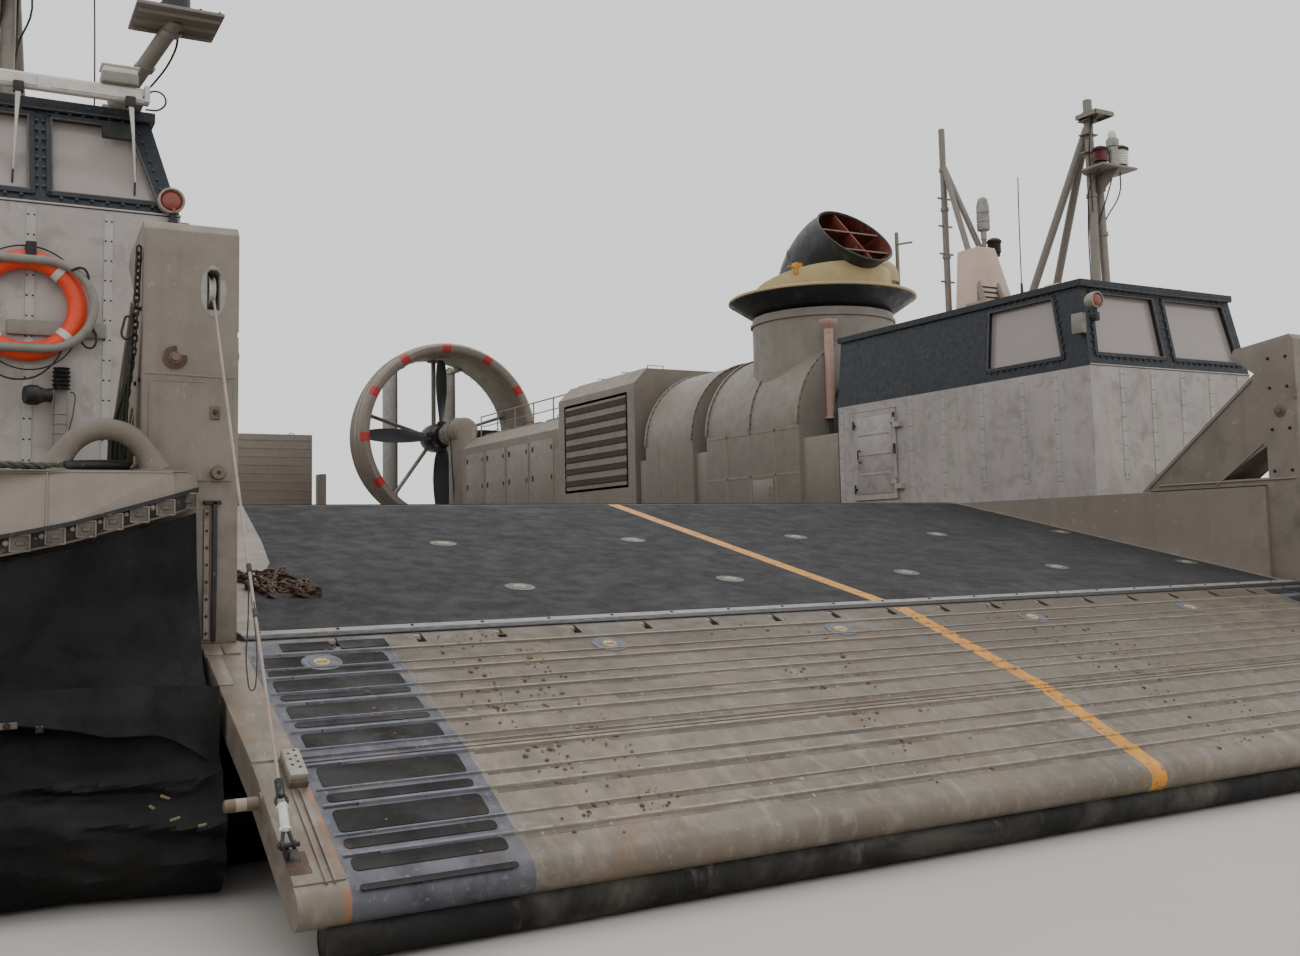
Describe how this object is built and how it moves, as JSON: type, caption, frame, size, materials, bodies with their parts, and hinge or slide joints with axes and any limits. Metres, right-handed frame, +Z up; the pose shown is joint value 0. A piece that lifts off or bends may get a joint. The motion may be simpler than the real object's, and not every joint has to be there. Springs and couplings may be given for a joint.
{
  "type": "air-cushion landing craft",
  "caption": "Air-cushion military landing craft with an open cargo deck, a lowered bow ramp, a stowed stern ramp, turning bow thrusters and shrouded propellers with rudders.",
  "frame": {"origin": "centre of the footprint at ground level, midway along the craft with its bow ramp down", "axes": "+Z up, bow towards -Y, port side towards +X"},
  "size_m": [14.34, 26.8462, 6.55],
  "materials": {
    "hull": "weathered taupe",
    "skirt": "dusty coated fabric",
    "cabin": "weathered light grey",
    "window_frame": "slate grey",
    "glazing": "greyish",
    "ramp": "worn bare planks",
    "thruster": "slate elbow on a tan disc",
    "dark_metal": "heat-stained",
    "blade": "satin",
    "rudder": "matt",
    "mast": "matt",
    "wiper_beam": "matt",
    "life_ring": "faded orange",
    "seat": "dark"
  },
  "bodies": {
    "hull": {"hull_raft": "hull", "port_bow_corner_plating": "hull", "port_ramp_post": "hull", "port_mooring_ring": "hull", "port_lift_fan_module": "hull", "port_intake_house": "hull", "port_engine_bay": "hull", "port_propeller_shroud": "hull", "port_propeller_pylon": "hull", "starboard_bow_corner_plating": "hull", "starboard_ramp_post": "hull", "starboard_mooring_ring": "hull", "starboard_lift_fan_module": "hull", "starboard_intake_house": "hull", "starboard_engine_bay": "hull", "starboard_propeller_shroud": "hull", "starboard_propeller_pylon": "hull", "keel_skirt": "skirt", "bow_skirt_middle": "skirt", "stern_skirt": "skirt", "port_bow_skirt": "skirt", "port_side_skirt": "skirt", "starboard_bow_skirt": "skirt", "starboard_side_skirt": "skirt", "port_cabin_walls": "cabin", "port_cabin_roof": "cabin", "starboard_cabin_walls": "cabin", "starboard_cabin_roof": "cabin", "port_window_band": "window_frame", "starboard_window_band": "window_frame", "port_glazing": "glazing", "starboard_glazing": "glazing", "port_exhaust_stacks": "dark_metal", "starboard_exhaust_stacks": "dark_metal", "control_console": "dark_metal", "port_fore_mast": "mast", "port_aft_mast": "mast", "starboard_fore_mast": "mast", "starboard_aft_mast": "mast", "lamp_pole": "mast", "wiper_beam": "wiper_beam", "life_ring": "life_ring", "crew_seats": "seat"},
    "bow_ramp": {"bow_ramp_panel": "ramp", "bow_ramp_bumper": "skirt"},
    "stern_ramp": {"stern_ramp": "ramp"},
    "port_bow_thruster": {"port_bow_thruster": "thruster"},
    "port_propeller": {"port_propeller": "blade"},
    "port_inner_rudder": {"port_inner_rudder": "rudder"},
    "port_outer_rudder": {"port_outer_rudder": "rudder"},
    "port_cabin_door": {"port_cabin_door": "cabin"},
    "starboard_bow_thruster": {"starboard_bow_thruster": "thruster"},
    "starboard_propeller": {"starboard_propeller": "blade"},
    "starboard_inner_rudder": {"starboard_inner_rudder": "rudder"},
    "starboard_outer_rudder": {"starboard_outer_rudder": "rudder"},
    "starboard_cabin_door": {"starboard_cabin_door": "cabin"}
  },
  "joints": [
    {"name": "bow_ramp_hinge", "type": "hinge", "parent": "hull", "child": "bow_ramp", "pos_m": [0, -11.4575, 0.98], "axis": [-1, 0, 0], "range_deg": [0, 102]},
    {"name": "stern_ramp_hinge", "type": "hinge", "parent": "hull", "child": "stern_ramp", "pos_m": [0, 13.0275, 1.76], "axis": [-1, 0, 0], "range_deg": [0, 128]},
    {"name": "port_thruster_turn", "type": "hinge", "parent": "hull", "child": "port_bow_thruster", "pos_m": [5.4, -3.4675, 4.65], "axis": [0, 0, 1], "continuous": true},
    {"name": "port_propeller_spin", "type": "hinge", "parent": "hull", "child": "port_propeller", "pos_m": [4.45, 9.8825, 4.05], "axis": [0, 1, 0], "continuous": true},
    {"name": "port_cabin_door_hinge", "type": "hinge", "parent": "hull", "child": "port_cabin_door", "pos_m": [4.16, -6.4035, 2.4], "axis": [0, 0, 1], "range_deg": [0, 100]},
    {"name": "port_inner_rudder_turn", "type": "hinge", "parent": "hull", "child": "port_inner_rudder", "pos_m": [3.73, 11.3025, 4.05], "axis": [0, 0, 1], "range_deg": [-30, 30]},
    {"name": "port_outer_rudder_turn", "type": "hinge", "parent": "hull", "child": "port_outer_rudder", "pos_m": [5.17, 11.3025, 4.05], "axis": [0, 0, 1], "range_deg": [-30, 30]},
    {"name": "starboard_thruster_turn", "type": "hinge", "parent": "hull", "child": "starboard_bow_thruster", "pos_m": [-5.4, -3.4675, 4.65], "axis": [0, 0, 1], "continuous": true},
    {"name": "starboard_propeller_spin", "type": "hinge", "parent": "hull", "child": "starboard_propeller", "pos_m": [-4.45, 9.8825, 4.05], "axis": [0, 1, 0], "continuous": true},
    {"name": "starboard_cabin_door_hinge", "type": "hinge", "parent": "hull", "child": "starboard_cabin_door", "pos_m": [-4.16, -6.4035, 2.4], "axis": [0, 0, -1], "range_deg": [0, 100]},
    {"name": "starboard_inner_rudder_turn", "type": "hinge", "parent": "hull", "child": "starboard_inner_rudder", "pos_m": [-3.73, 11.3025, 4.05], "axis": [0, 0, 1], "range_deg": [-30, 30]},
    {"name": "starboard_outer_rudder_turn", "type": "hinge", "parent": "hull", "child": "starboard_outer_rudder", "pos_m": [-5.17, 11.3025, 4.05], "axis": [0, 0, 1], "range_deg": [-30, 30]}
  ],
  "couplings": [
    {"joint": "port_outer_rudder_turn", "follows": "port_inner_rudder_turn", "ratio": 1},
    {"joint": "starboard_inner_rudder_turn", "follows": "port_inner_rudder_turn", "ratio": 1},
    {"joint": "starboard_outer_rudder_turn", "follows": "port_inner_rudder_turn", "ratio": 1}
  ]
}
